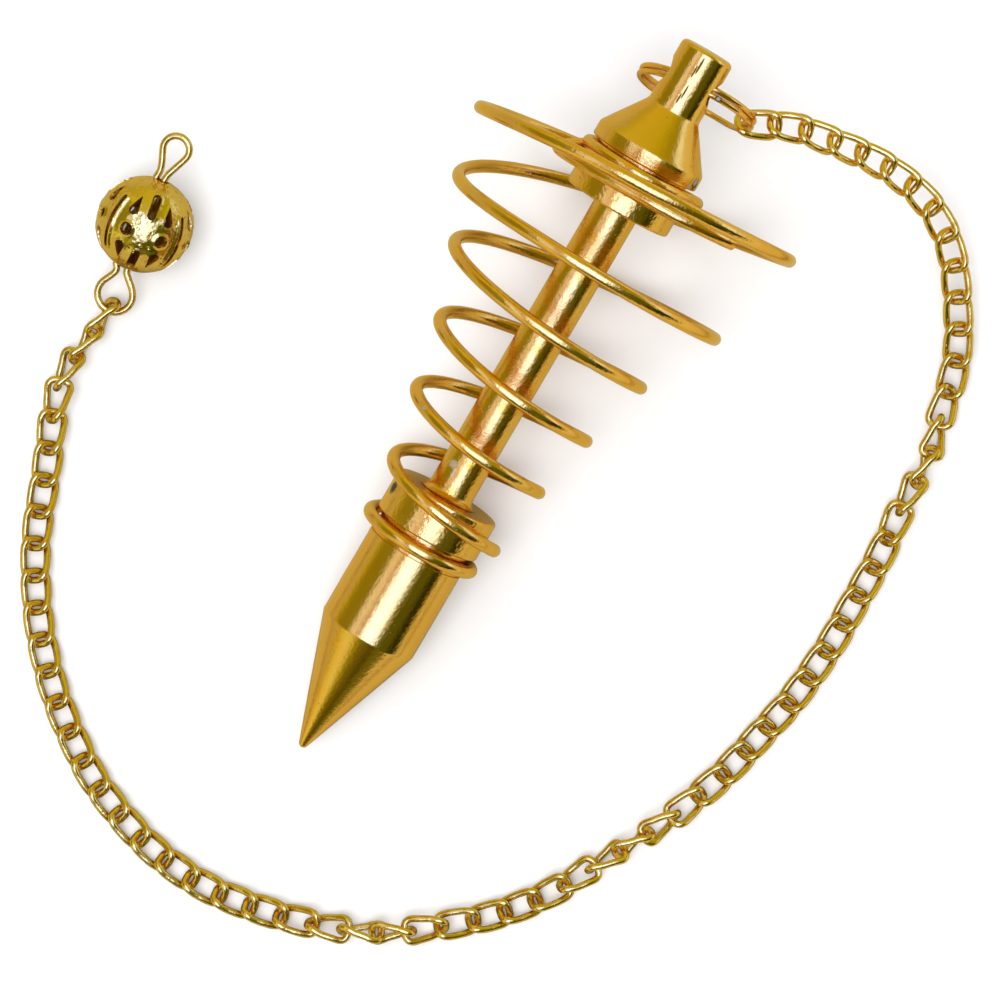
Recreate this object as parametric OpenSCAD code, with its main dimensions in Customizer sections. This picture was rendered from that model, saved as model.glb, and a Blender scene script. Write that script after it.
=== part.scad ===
// Spiral pendulum pendant of gold-plated brass, lying on a flat surface with its chain and end bead.
// Units are millimetres. Z is up and the surface is the plane z = 0.

/* [Turned body] */
// Length of the cone that ends in the tip
cone_h = 11.1; // [8:0.1:14]
// Radius of the ball that rounds the tip
tip_r = 0.4; // [0.3:0.05:0.8]
// Diameter of the point above its cone
point_d = 8.4; // [7.4:0.1:9]
// Length of the point's cylinder
point_h = 7.85; // [5:0.05:10]
// Diameter of the two seats that the spiral is wound on
seat_d = 8.1; // [7:0.1:8.2]
// Diameter of the lower collar
lower_collar_d = 9.2; // [8.8:0.1:10]
// Height of the lower collar
lower_collar_h = 3.5; // [2.5:0.1:5]
// Diameter of the rod
rod_d = 3.9; // [3:0.1:4.6]
// Visible length of the rod between the collars
rod_h = 27.4; // [22:0.2:32]
// Diameter of the flare at the foot of the rod
rod_foot_d = 5.2; // [5:0.1:6]
// Diameter of the upper collar
upper_collar_d = 9.3; // [8.8:0.1:10]
// Height of the upper collar
upper_collar_h = 2.85; // [2:0.05:4]

/* [Head] */
// Diameter of the head's base
head_d = 9.55; // [9:0.05:10.5]
// Height of the cylinder at the head's base
head_base_h = 1.25; // [0.8:0.05:2]
// Height of the head's cone
head_cone_h = 3.55; // [2.8:0.05:4.5]
// Diameter of the neck
neck_d = 4.6; // [4.4:0.1:5.2]
// Length of the neck
neck_h = 5.6; // [5:0.1:6.5]
// Radius of the rounded top edge
neck_round = 0.45; // [0.2:0.05:0.8]
// Diameter of the cross bore through the neck
bore_d = 2.6; // [2.4:0.1:2.8]
// Height of the cross bore above the foot of the neck
bore_h = 2.65; // [2.2:0.05:3]

/* [Spiral] */
// Diameter of the spiral's wire
coil_wire_d = 1.1; // [0.9:0.05:1.2]
// Radius of the widest turn, to the middle of its wire
coil_big_r = 14.25; // [12:0.25:16]

/* [Split ring] */
// Outer diameter of the split ring
split_ring_d = 10.6; // [10.2:0.1:11]
// Diameter of the split ring's wire
split_wire_d = 0.5; // [0.4:0.05:0.55]

/* [Chain] */
// Outer length of a link
link_l = 4; // [3.9:0.05:4.1]
// Outer width of a link
link_w = 2.5; // [2.4:0.05:2.7]
// Diameter of a link's wire
link_wire_d = 0.54; // [0.4:0.02:0.56]
// How far the corners of a link are twisted out of its plane
link_twist = 0.46; // [0.42:0.01:0.5]
// How square a link's outline is: 1 is an ellipse, and less is squarer
link_squareness = 0.68; // [0.65:0.01:1]

/* [End bead] */
// Diameter of the pierced bead
bead_d = 8.2; // [7.5:0.1:9]
// Thickness of the bead's wall
bead_wall = 0.4; // [0.3:0.05:0.6]
// Diameter of the wire through the bead
pin_d = 0.5; // [0.4:0.05:0.6]
// Width of the free eye
free_eye_w = 2.75; // [2.4:0.05:3.2]
// Width of the eye that holds the chain
chain_eye_w = 3.55; // [2.8:0.05:3.6]
// Length of each eye beyond the bead
eye_l = 4.2; // [3.8:0.1:4.6]

/* [Hidden] */
$fn = 64;

// Gap left between two turned pieces that are screwed tight on the real pendant
seat_gap = 0.03;
// Radial gap round the rod's two ends
socket_gap = 0.05;
// Gap between the spiral's wire and what it is wound on
wrap_gap = 0.09;
// Room along the seat beside the wire
lower_seat_play = 0.66;
upper_seat_play = 0.36;
// How deep the rod's ends go into the point and into the head
rod_end_depth = 3;
// Height of the flare at the foot of the rod, and width of the chamfer on the collars
rod_foot_h = 0.7;
edge_break = 0.12;
// How far a cut runs past what it cuts
past = 1;
// Steps of a small rounding, and sides of the wires
round_steps = 6;
wire_sides = 8;
link_sides = 6;

// Heights along the pendant, measured from the tip
point_top = cone_h + point_h;
lower_seat_h = coil_wire_d + lower_seat_play;
lower_collar_z = point_top + lower_seat_h + seat_gap;
rod_z = lower_collar_z + lower_collar_h;
upper_collar_z = rod_z + rod_h;
upper_collar_top = upper_collar_z + upper_collar_h;
upper_seat_h = coil_wire_d + upper_seat_play;
head_z = upper_collar_top + upper_seat_h + seat_gap;
neck_z = head_z + head_base_h + head_cone_h;
bore_z = neck_z + bore_h;

// The spiral's wire from the hidden solder joint behind the head down to the lower seat.
// half_turn counts half turns from the left end of the first tight turn: whole even numbers are
// at the left of the pendant, odd ones at the right, and the halves between are in front or behind.
// radius is the share of the way from the seat to the widest turn, and
// height is the share of the way from the lower seat up to the upper one.
coil_rows = [
  // half_turn, radius, height
  [-0.55, 0.00, 1.000],
  [ 0.00, 0.00, 1.000],
  [ 0.50, 0.00, 1.000],
  [ 1.00, 0.04, 1.000],
  [ 1.50, 0.42, 0.978],
  [ 2.00, 0.92, 0.942],
  [ 2.50, 0.96, 1.000],
  [ 3.00, 1.00, 0.997],
  [ 3.50, 0.94, 0.900],
  [ 4.00, 0.82, 0.789],
  [ 4.50, 0.80, 0.777],
  [ 5.00, 0.79, 0.755],
  [ 6.00, 0.56, 0.647],
  [ 6.50, 0.51, 0.601],
  [ 7.00, 0.46, 0.571],
  [ 8.00, 0.34, 0.479],
  [ 8.50, 0.32, 0.430],
  [ 9.00, 0.29, 0.400],
  [10.00, 0.215, 0.312],
  [10.50, 0.19, 0.268],
  [11.00, 0.165, 0.241],
  [12.00, 0.085, 0.147],
  [12.50, 0.085, 0.103],
  [13.00, 0.085, 0.071],
  [13.50, 0.070, 0.034],
  [14.00, 0.030, 0.008],
  [14.50, 0.00, 0.00],
  [15.00, 0.00, 0.00],
  [15.70, 0.00, 0.00]];
// The loose upper end of the wire, soldered on behind the head, with the same columns
tail_rows = [
  // half_turn, radius, height
  [-0.65, 0.00, 1.000],
  [-0.45, 0.03, 1.000],
  [-0.20, 0.11, 0.985],
  [ 0.00, 0.19, 0.957],
  [ 0.50, 0.30, 0.965],
  [ 0.85, 0.66, 0.975]];
// Step between two sections of the spiral's wire, in half turns
coil_step = 0.11;
tail_step = 0.07;

// Which way the pendant's head points, seen from above, and how far the ring is turned from square
pendant_heading = 58.9;
ring_turn = 5;
// How high the ring's top stands over the middle of the bore, and how far the ring is pulled
// towards the chain
ring_top = 0.55;
ring_shift = 0.75;
// The ring's wire lies in two layers. Its ends stop this far before and after the place where
// the wire crosses from one layer to the other, and the place is given from the top of the ring.
ring_end_gap = 26;
ring_cross_at = 150;
layer_gap = 0.03;

// The chain's route from the split ring to the eye of the bead's wire.
// rise is the share of the way from the surface up to the split ring.
chain_route = [
  // x, y, rise
  [20.8, 30.2, 1],
  [24.4, 30, 0.94],
  [27.7, 29, 0.83],
  [30.7, 28, 0.7],
  [33.5, 26.5, 0.57],
  [35.8, 24.5, 0.45],
  [37.3, 22, 0.34],
  [38, 19.4, 0.24],
  [38.3, 16.6, 0.15],
  [38.4, 14, 0.08],
  [38, 11.1, 0.025],
  [37, 7.9, 0],
  [35.9, 4.3, 0],
  [33.6, -0.1, 0],
  [31.7, -4.2, 0],
  [29.2, -8.7, 0],
  [27.4, -11.8, 0],
  [24.5, -15.9, 0],
  [22.7, -17.9, 0],
  [19, -21.9, 0],
  [16.7, -23.9, 0],
  [14.2, -25.9, 0],
  [11.4, -27.7, 0],
  [7.5, -30.1, 0],
  [3.9, -32.2, 0],
  [0, -33.7, 0],
  [-4, -34.6, 0],
  [-8.5, -35.2, 0],
  [-12.5, -35, 0],
  [-16.6, -34.2, 0],
  [-20.8, -32.9, 0],
  [-24.9, -31, 0],
  [-29.1, -27.8, 0],
  [-32.9, -23.3, 0],
  [-35, -19.5, 0],
  [-36.5, -15.9, 0],
  [-37.4, -12.8, 0],
  [-38, -9.9, 0],
  [-38.3, -7, 0],
  [-38.4, -4.2, 0],
  [-38.2, -1.1, 0],
  [-37.7, 2.2, 0],
  [-37.3, 5.3, 0],
  [-36.9, 8.3, 0],
  [-36.1, 11.2, 0],
  [-34.5, 13.6, 0],
  [-32.5, 16.5, 0]];
// Where the chain turns over.
// place is a share of its length, links is how many links the turn takes, and turn is in degrees.
chain_turns = [
  // place, links, turn
  [0.235, 7, -180],
  [0.47, 8, -180],
  [0.60, 7, -180],
  [0.96, 6, -90]];
// Points on the route's curve between two of its points, and points round a link
curve_steps = 6;
link_points = 14;
// Clearance between the wires of two links
link_play = 0.22;
// How far the split ring's layers stay from the round end of the first link
ring_seat = 0.7;

// Which way the bead's wire points, how far the bead is turned about it, and where the last link holds it
bead_heading = 65;
bead_spin = 12;
eye_gap = 0.5;
// Hole for the wire at each end of the bead, and how far from the bead each eye starts
bead_hole_d = 1.1;
eye_start = 0.15;
// Pierced pattern of the bead, repeated round it
bead_panels = 4;
slot_w = 0.75;
slot_l = 2.4;
leaf_w = 0.85;
leaf_l = 1.9;
// Where a leaf's straight sides start, just inside its round end
leaf_shoulder = [leaf_w * 0.46, leaf_w * 0.65 - leaf_l / 2];
round_hole_d = 1.08;
seam_slot_w = 0.32;
seam_slot_l = 4.6;
// Holes of one panel. kind is 0 for a slot, 1 for a leaf and 2 for a round hole,
// and side and height are the angles from the panel's middle.
panel_holes = [
  // kind, side, height
  [0, 0, 37],
  [1, -24, 31],
  [1, 24, 31],
  [2, -22, 0],
  [2, 22, 0],
  [0, 0, -37],
  [1, -24, -30],
  [1, 24, -30]];

brass = [0.80, 0.62, 0.16];
dark_brass = [0.66, 0.48, 0.12];

// Curves and wires

// Unit vector along v
function unit(v) = v / norm(v);

// Column c of a table at x of its first column, on a smooth curve through the rows
function slope(rows, c, i) =
  let (a = max(i - 1, 0), b = min(i + 1, len(rows) - 1))
  (rows[b][c] - rows[a][c]) / (rows[b][0] - rows[a][0]);
function row_before(rows, x) = max([for (i = [0 : len(rows) - 2]) if (i == 0 || rows[i][0] <= x) i]);
function smooth(rows, c, x) =
  let (i = row_before(rows, x),
       w = rows[i + 1][0] - rows[i][0],
       t = (x - rows[i][0]) / w)
  rows[i][c] * (2 * pow(t, 3) - 3 * pow(t, 2) + 1)
  + w * slope(rows, c, i) * (pow(t, 3) - 2 * pow(t, 2) + t)
  + rows[i + 1][c] * (3 * pow(t, 2) - 2 * pow(t, 3))
  + w * slope(rows, c, i + 1) * (pow(t, 3) - pow(t, 2));

// Point at share t between b and c on a smooth curve through a, b, c and d
function curve_point(a, b, c, d, t) =
  (2 * b + (c - a) * t + (2 * a - 5 * b + 4 * c - d) * t * t
   + (3 * b - a - 3 * c + d) * pow(t, 3)) / 2;
function curve(points, steps) =
  let (last = len(points) - 1)
  concat(
    [for (i = [0 : last - 1], k = [0 : steps - 1])
      curve_point(points[max(i - 1, 0)], points[i], points[i + 1], points[min(i + 2, last)], k / steps)],
    [points[last]]);

// Share from 0 to 1 that starts and stops smoothly
function ease(t) = let (u = min(max(t, 0), 1)) u * u * (3 - 2 * u);

// Direction of a path at its point i
function heading(path, i, closed) =
  let (n = len(path),
       a = closed ? (i + n - 1) % n : max(i - 1, 0),
       b = closed ? (i + 1) % n : min(i + 1, n - 1))
  unit(path[b] - path[a]);

// Section of a wire round point i of its path. One of its axes stays close to the vector flat.
function section(path, i, flat, d, sides, closed) =
  let (t = heading(path, i, closed),
       up = unit(flat - (flat * t) * t),
       side = cross(t, up))
  [for (k = [0 : sides - 1])
    let (a = 360 * (k + 0.5) / sides)
    path[i] + d / 2 * (cos(a) * side + sin(a) * up)];

// Round wire along a path
module wire(path, flat, d, sides, closed = false) {
  n = len(path);
  spans = closed ? n : n - 1;
  skin = [for (i = [0 : n - 1]) each section(path, i, flat, d, sides, closed)];
  walls = [
    for (i = [0 : spans - 1], k = [0 : sides - 1])
      let (a = i * sides + k,
           b = i * sides + (k + 1) % sides,
           j = (i + 1) % n,
           c = j * sides + (k + 1) % sides,
           e = j * sides + k)
      each [[a, b, c], [a, c, e]]];
  ends = closed ? [] : [
    [for (k = [sides - 1 : -1 : 0]) k],
    [for (k = [0 : sides - 1]) (n - 1) * sides + k]];
  polyhedron(points = skin, faces = concat(walls, ends), convexity = 8);
}

// The pendant's pose on the surface

// Path of the spiral's wire along the pendant, worked out from a table
function coil_place(rows, x) =
  let (seat_r = seat_d / 2 + wrap_gap + coil_wire_d / 2,
       low = point_top + (lower_seat_play + coil_wire_d) / 2,
       high = head_z - seat_gap - (upper_seat_play + coil_wire_d) / 2,
       r = seat_r + (coil_big_r - seat_r) * smooth(rows, 1, x),
       a = 180 - 180 * x)
  [r * cos(a), -r * sin(a), low + (high - low) * smooth(rows, 2, x)];
function coil_path(rows, step) =
  let (first = rows[0][0],
       last = rows[len(rows) - 1][0],
       n = ceil((last - first) / step))
  [for (i = [0 : n]) coil_place(rows, first + (last - first) * i / n)];

// The pendant rests on the wire of a wide turn and on its tip or on the edge where the cone ends.
// Each of these two supports has a place along the pendant, a distance from its axis and a radius.
supports = [
  [tip_r, 0, tip_r],
  [cone_h, point_d / 2, 0]];
// Tilt at which a support and the wire at the point p both touch the surface
function tilt_for(support, p) =
  let (along = p.z - support.x,
       below = p.y - support.y)
  atan2(below, along) + asin((coil_wire_d / 2 - support.z) / norm([along, below]));
rest_tilt = min([
  for (support = supports)
    max([for (p = coil_path(coil_rows, coil_step)) tilt_for(support, p)])]);
start_height = max([
  for (support = supports)
    support.z + support.y * cos(rest_tilt) - support.x * sin(rest_tilt)]);

// Unit vectors along the pendant, along the split ring and square to it
pendant_axis = [cos(rest_tilt) * cos(pendant_heading), cos(rest_tilt) * sin(pendant_heading),
                sin(rest_tilt)];
ring_heading = pendant_heading - 90 + ring_turn;
ring_side = [cos(ring_heading), sin(ring_heading), 0];
ring_normal = [-sin(ring_heading), cos(ring_heading), 0];

// The split ring holds the chain at the first point of its route, and the pendant is set from there
ring_r = (split_ring_d - split_wire_d) / 2;
ring_drop = ring_r - ring_top;
hook_height = start_height + bore_z * sin(rest_tilt) - ring_drop;
hook = [chain_route[0].x, chain_route[0].y, hook_height];
ring_middle = hook - ring_r * ring_side;
bore_middle = ring_middle - ring_shift * ring_side + [0, 0, ring_drop];
pendant_start = bore_middle - bore_z * pendant_axis;

// Puts a piece that is modelled along Z, from the tip upwards, where it lies
module lay_down() {
  translate(pendant_start)
    rotate([rest_tilt - 90, 0, pendant_heading - 90])
      children();
}

// Turned pieces

// Ring or disc with a small chamfer on both outer edges
module chamfered_disc(d, h, hole_d) {
  rotate_extrude()
    polygon([[hole_d / 2, 0], [d / 2 - edge_break, 0], [d / 2, edge_break],
             [d / 2, h - edge_break], [d / 2 - edge_break, h], [hole_d / 2, h]]);
}

socket_d = rod_d + 2 * socket_gap;

module point() {
  // The cone starts where it is tangent to the ball of the tip
  wall_angle = atan((point_d / 2 - tip_r) / (cone_h - tip_r));
  tangent_r = tip_r * cos(wall_angle);
  tangent_z = tip_r - tip_r * sin(wall_angle);
  color(brass)
    lay_down()
      difference() {
        union() {
          translate([0, 0, tip_r])
            sphere(r = tip_r);
          translate([0, 0, tangent_z])
            cylinder(r1 = tangent_r, r2 = point_d / 2, h = cone_h - tangent_z);
          translate([0, 0, cone_h])
            cylinder(d = point_d, h = point_h - edge_break);
          translate([0, 0, point_top - edge_break])
            cylinder(d1 = point_d, d2 = point_d - 2 * edge_break, h = edge_break);
          translate([0, 0, point_top])
            cylinder(d = seat_d, h = lower_seat_h);
        }
        translate([0, 0, lower_collar_z - seat_gap - rod_end_depth - seat_gap])
          cylinder(d = socket_d, h = rod_end_depth + past);
      }
}

module lower_collar() {
  color(brass)
    lay_down()
      translate([0, 0, lower_collar_z])
        chamfered_disc(lower_collar_d, lower_collar_h, socket_d);
}

module rod() {
  end_low = lower_collar_z - seat_gap - rod_end_depth;
  end_high = head_z + rod_end_depth;
  foot_z = rod_z + seat_gap;
  flare = [
    for (i = [0 : round_steps])
      let (a = 90 * i / round_steps)
      [rod_d / 2 + (rod_foot_d - rod_d) / 2 * (1 - sin(a)), foot_z + rod_foot_h * (1 - cos(a))]];
  color(brass)
    lay_down()
      rotate_extrude()
        polygon(concat(
          [[0, end_low], [rod_d / 2, end_low], [rod_d / 2, foot_z]],
          flare,
          [[rod_d / 2, end_high], [0, end_high]]));
}

module upper_collar() {
  color(brass)
    lay_down()
      translate([0, 0, upper_collar_z])
        difference() {
          union() {
            chamfered_disc(upper_collar_d, upper_collar_h, socket_d);
            translate([0, 0, upper_collar_h])
              cylinder(d = seat_d, h = upper_seat_h);
          }
          translate([0, 0, -past])
            cylinder(d = socket_d, h = upper_collar_h + upper_seat_h + 2 * past);
        }
}

module head() {
  // Outline from the middle of the base to the middle of the rounded top
  outline = concat(
    [[0, head_z], [head_d / 2 - edge_break, head_z], [head_d / 2, head_z + edge_break],
     [head_d / 2, head_z + head_base_h], [neck_d / 2, neck_z]],
    [for (i = [0 : round_steps])
      let (a = 90 * i / round_steps)
      [neck_d / 2 - neck_round * (1 - cos(a)), neck_z + neck_h - neck_round * (1 - sin(a))]],
    [[0, neck_z + neck_h]]);
  color(brass)
    lay_down()
      difference() {
        rotate_extrude()
          polygon(outline);
        translate([0, 0, head_z - past])
          cylinder(d = socket_d, h = rod_end_depth + seat_gap + past);
        translate([0, 0, bore_z])
          rotate([0, 90, 0])
            cylinder(d = bore_d, h = neck_d + 2 * past, center = true);
      }
}

// Wire pieces

module spiral_coil() {
  color(brass)
    lay_down()
      union() {
        wire(coil_path(coil_rows, coil_step), [0, 0, 1], coil_wire_d, wire_sides);
        wire(coil_path(tail_rows, tail_step), [0, 0, 1], coil_wire_d, wire_sides);
      }
}

// Point of the split ring's wire at an angle a along its two turns
function ring_point(a) =
  let (layer = (split_wire_d + layer_gap) / 2,
       across = (ease((a - 360 + ring_end_gap) / (2 * ring_end_gap)) * 2 - 1) * layer,
       place = a + ring_cross_at)
  ring_middle + ring_r * (sin(place) * ring_side + cos(place) * [0, 0, 1]) + across * ring_normal;

module split_ring() {
  first = ring_end_gap;
  last = 720 - ring_end_gap;
  steps = 36;
  path = [for (i = [0 : steps]) ring_point(first + (last - first) * i / steps)];
  color(brass)
    wire(path, ring_normal, split_wire_d, wire_sides);
}

// Chain

// Pushes a point of a circle out towards the corners
function squared(v) = sign(v) * pow(abs(v), link_squareness);
// A link's own path: x runs along the chain, and the corners are twisted out of the plane
link_path = [
  for (i = [0 : link_points - 1])
    let (a = 360 * i / link_points)
    [(link_l - link_wire_d) / 2 * squared(cos(a)), (link_w - link_wire_d) / 2 * squared(sin(a)),
      link_twist * sin(2 * a)]];

// How high the middle of a link lies when it is rolled about the chain's direction
function lift(roll) =
  link_wire_d / 2 + max([for (p = link_path) abs(p.y * sin(roll) + p.z * cos(roll))]);

// The route as a fine curve, and tables of its x, y and rise by the length along it
route_curve = curve(
  [for (p = chain_route) [p.x, p.y, p[2] * (hook_height - lift(0))]], curve_steps);
route_lengths = [
  for (i = 0, s = 0; i < len(route_curve);
       s = s + (i + 1 < len(route_curve) ? norm(route_curve[i + 1] - route_curve[i]) : 0), i = i + 1)
    s];
route_x = [for (i = [0 : len(route_curve) - 1]) [route_lengths[i], route_curve[i].x]];
route_y = [for (i = [0 : len(route_curve) - 1]) [route_lengths[i], route_curve[i].y]];
route_rise = [for (i = [0 : len(route_curve) - 1]) [route_lengths[i], route_curve[i].z]];
route_length = route_lengths[len(route_lengths) - 1];

// The first and last links reach past their middles to hold the split ring and the eye
first_reach = link_l / 2 - link_wire_d - split_wire_d / 2 - ring_seat;
last_reach = link_l / 2 - link_wire_d - pin_d / 2 - eye_gap;
pitch_limit = link_l - 2 * link_wire_d - link_play;
link_steps = ceil((route_length - first_reach - last_reach) / pitch_limit);
pitch = (route_length - first_reach - last_reach) / link_steps;

// Roll of the chain at the length s along its route
function roll_at(s) =
  let (parts = [for (row = chain_turns)
         row[2] * ease((s - row[0] * route_length) / (row[1] * pitch) + 0.5)])
  parts * [for (row = chain_turns) 1];
function chain_point(s) =
  [lookup(s, route_x), lookup(s, route_y), lookup(s, route_rise) + lift(roll_at(s))];

module link(k) {
  s = first_reach + k * pitch;
  middle = chain_point(s);
  along = unit(chain_point(s + pitch / 2) - chain_point(s - pitch / 2));
  level = unit(cross([0, 0, 1], along));
  rise = cross(along, level);
  roll = roll_at(s);
  side = cos(roll) * level + sin(roll) * rise;
  up = cos(roll) * rise - sin(roll) * level;
  path = [for (p = link_path) middle + p.x * along + p.y * side + p.z * up];
  // A link that slopes is raised until its lowest point clears the surface
  sunk = max(0, link_wire_d / 2 - min([for (p = path) p.z]));
  wire([for (p = path) p + [0, 0, sunk]], up, link_wire_d, link_sides, closed = true);
}

module chain() {
  color(brass)
    for (k = [0 : link_steps])
      link(k);
}

// End bead

// The eye's far end is held at the end of the route, and the wire's tilt lets the bead touch the surface
eye_reach = bead_d / 2 + eye_l - pin_d / 2;
eye_height = chain_point(route_length).z;
bead_tilt = asin((bead_d / 2 - eye_height) / eye_reach);
route_end = chain_route[len(chain_route) - 1];
bead_middle = [route_end.x, route_end.y, eye_height]
  + eye_reach * [cos(bead_tilt) * cos(bead_heading), cos(bead_tilt) * sin(bead_heading), sin(bead_tilt)];

// Puts a piece that is modelled round the bead's middle, with the free eye towards X, where it lies
module set_bead() {
  translate(bead_middle)
    rotate([0, -bead_tilt, bead_heading])
      children();
}

// Hole of one kind, cut outwards along X, with its length along Z
module bead_cut(kind) {
  rotate([90, 0, 90])
    linear_extrude(bead_d) {
      if (kind == 0) {
        square([slot_w, slot_l - slot_w], center = true);
        for (side = [-1, 1])
          translate([0, side * (slot_l - slot_w) / 2])
            circle(d = slot_w);
      }
      if (kind == 1) {
        translate([0, (leaf_w - leaf_l) / 2])
          circle(d = leaf_w);
        polygon([[-leaf_shoulder.x, leaf_shoulder.y], [leaf_shoulder.x, leaf_shoulder.y],
                 [0, leaf_l / 2]]);
      }
      if (kind == 2)
        circle(d = round_hole_d);
    }
}

module end_bead() {
  color(dark_brass)
    set_bead()
      rotate([0, 90, 0])
        difference() {
          sphere(d = bead_d);
          sphere(d = bead_d - 2 * bead_wall);
          cylinder(d = bead_hole_d, h = bead_d + 2 * past, center = true);
          for (panel = [0 : bead_panels - 1])
            rotate([0, 0, 360 * panel / bead_panels + 180 + bead_spin]) {
              for (hole = panel_holes)
                rotate([0, -hole[2], hole[1]])
                  mirror([0, 0, hole[2] < 0 ? 1 : 0])
                    bead_cut(hole[0]);
              rotate([0, 0, 180 / bead_panels])
                translate([bead_d / 4, -seam_slot_w / 2, -seam_slot_l / 2])
                  cube([bead_d / 2, seam_slot_w, seam_slot_l]);
            }
        }
}

// Half of the bead's wire, from the bead's middle to the free end of the eye that it is bent into
function eye_path(eye_w) =
  let (r = (eye_w - pin_d) / 2,
       start = bead_d / 2 + eye_start,
       middle = bead_d / 2 + eye_l - eye_w / 2,
       lean = asin(r / (middle - start)),
       leg = (middle - start) * cos(lean),
       stop = (pin_d + wrap_gap) / (2 * sin(lean)),
       steps = 14)
  concat(
    [[0, 0, 0], [start, 0, 0], [start + leg / 2 * cos(lean), -leg / 2 * sin(lean), 0]],
    [for (i = [0 : steps])
      let (a = (90 + lean) * (2 * i / steps - 1))
      [middle + r * cos(a), r * sin(a), 0]],
    [[start + stop * cos(lean), stop * sin(lean), 0]]);

module bead_pin() {
  free_half = eye_path(free_eye_w);
  chain_half = [for (p = eye_path(chain_eye_w)) [-p.x, p.y, 0]];
  path = concat(
    [for (i = [len(chain_half) - 1 : -1 : 1]) chain_half[i]],
    free_half);
  color(brass)
    set_bead()
      wire(path, [0, 0, 1], pin_d, wire_sides);
}

point();
lower_collar();
rod();
upper_collar();
head();
spiral_coil();
split_ring();
chain();
end_bead();
bead_pin();
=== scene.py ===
"""Spiral pendulum pendant of gold-plated brass, lying with its chain and end bead on a pale floor."""

from math import acos, asin, atan, ceil, copysign, cos, pi, radians, sin, sqrt

import bpy
import numpy as np
from mathutils import Matrix, Vector, noise


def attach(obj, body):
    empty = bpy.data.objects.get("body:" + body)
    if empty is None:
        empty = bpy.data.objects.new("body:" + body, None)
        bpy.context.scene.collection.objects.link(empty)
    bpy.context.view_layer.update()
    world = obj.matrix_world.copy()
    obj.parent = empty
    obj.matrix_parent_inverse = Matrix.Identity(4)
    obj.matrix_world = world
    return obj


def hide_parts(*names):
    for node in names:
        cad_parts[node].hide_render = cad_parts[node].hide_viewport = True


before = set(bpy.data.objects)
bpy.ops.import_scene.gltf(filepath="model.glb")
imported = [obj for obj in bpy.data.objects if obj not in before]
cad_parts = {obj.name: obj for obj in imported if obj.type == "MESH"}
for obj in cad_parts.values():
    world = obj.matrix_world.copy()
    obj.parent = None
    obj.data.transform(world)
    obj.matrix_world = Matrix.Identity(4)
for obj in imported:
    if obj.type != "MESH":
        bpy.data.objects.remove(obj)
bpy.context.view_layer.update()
scene = bpy.context.scene
MM = 0.001


def in_scene(name, data):
    """A new object in the scene."""
    made = bpy.data.objects.new(name, data)
    scene.collection.objects.link(made)
    return made


def plain_mesh(name, verts, faces=()):
    mesh = bpy.data.meshes.new(name)
    mesh.from_pydata(verts, [], faces)
    return mesh


# ---- sizes, in millimetres

CONE_H, TIP_R, POINT_D, POINT_H = 11.1, 0.4, 8.4, 7.85
SEAT_D, SEAT_GAP, SOCKET_R = 8.1, 0.03, 2.0
LOWER_SEAT_PLAY, UPPER_SEAT_PLAY = 0.66, 0.36
LOWER_COLLAR_D, LOWER_COLLAR_H = 9.2, 3.5
ROD_D, ROD_H, ROD_FOOT_D, ROD_FOOT_H, ROD_END = 3.9, 27.4, 5.2, 0.7, 3.0
UPPER_COLLAR_D, UPPER_COLLAR_H = 9.3, 2.85
HEAD_D, HEAD_BASE_H, HEAD_CONE_H = 9.55, 1.25, 3.55
NECK_D, NECK_H, NECK_ROUND, BORE_D, BORE_H = 4.6, 5.6, 0.45, 2.6, 2.65
COIL_WIRE_D, COIL_BIG_R, WRAP_GAP = 1.1, 14.25, 0.09
RING_D, RING_WIRE_D, RING_END_GAP, RING_CROSS_AT, LAYER_GAP = 10.6, 0.5, 26, 150, 0.03
RING_TURN = 5
LINK_L, LINK_W, LINK_WIRE_D, LINK_TWIST, LINK_SQUARENESS, LINK_PLAY = 4.0, 2.5, 0.54, 0.46, 0.68, 0.22
RING_SEAT, EYE_GAP = 0.7, 0.5
BEAD_D, BEAD_WALL, BEAD_HOLE_D, BEAD_HEADING, BEAD_SPIN = 8.2, 0.4, 1.1, 65, 12
PIN_D, FREE_EYE_W, CHAIN_EYE_W, EYE_L, EYE_START = 0.5, 2.75, 3.55, 4.2, 0.15
# How far the pin's feet spread from its axis, and how far they stay above the sheet
FREE_FOOT, CHAIN_FOOT, FOOT_RISE = 0.64, 1.0, 0.05
# How far the bead's sheet lies inside its widest size, and how far its lips may stand past it
SHEET_SINK, LIP_LIMIT = 0.07, 0.1
# The wire of the links and of the pin shows a little fuller than in the plain solids
LINK_WIRE_R, PIN_WIRE_D = LINK_WIRE_D * 0.54, PIN_D * 1.16

POINT_TOP = CONE_H + POINT_H
LOWER_SEAT_H = COIL_WIRE_D + LOWER_SEAT_PLAY
LOWER_COLLAR_Z = POINT_TOP + LOWER_SEAT_H + SEAT_GAP
ROD_Z = LOWER_COLLAR_Z + LOWER_COLLAR_H
UPPER_COLLAR_Z = ROD_Z + ROD_H
UPPER_COLLAR_TOP = UPPER_COLLAR_Z + UPPER_COLLAR_H
UPPER_SEAT_H = COIL_WIRE_D + UPPER_SEAT_PLAY
HEAD_Z = UPPER_COLLAR_TOP + UPPER_SEAT_H + SEAT_GAP
NECK_Z = HEAD_Z + HEAD_BASE_H + HEAD_CONE_H
BORE_Z = NECK_Z + BORE_H
TOP_Z = NECK_Z + NECK_H

# ---- where the pendant lies

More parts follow.
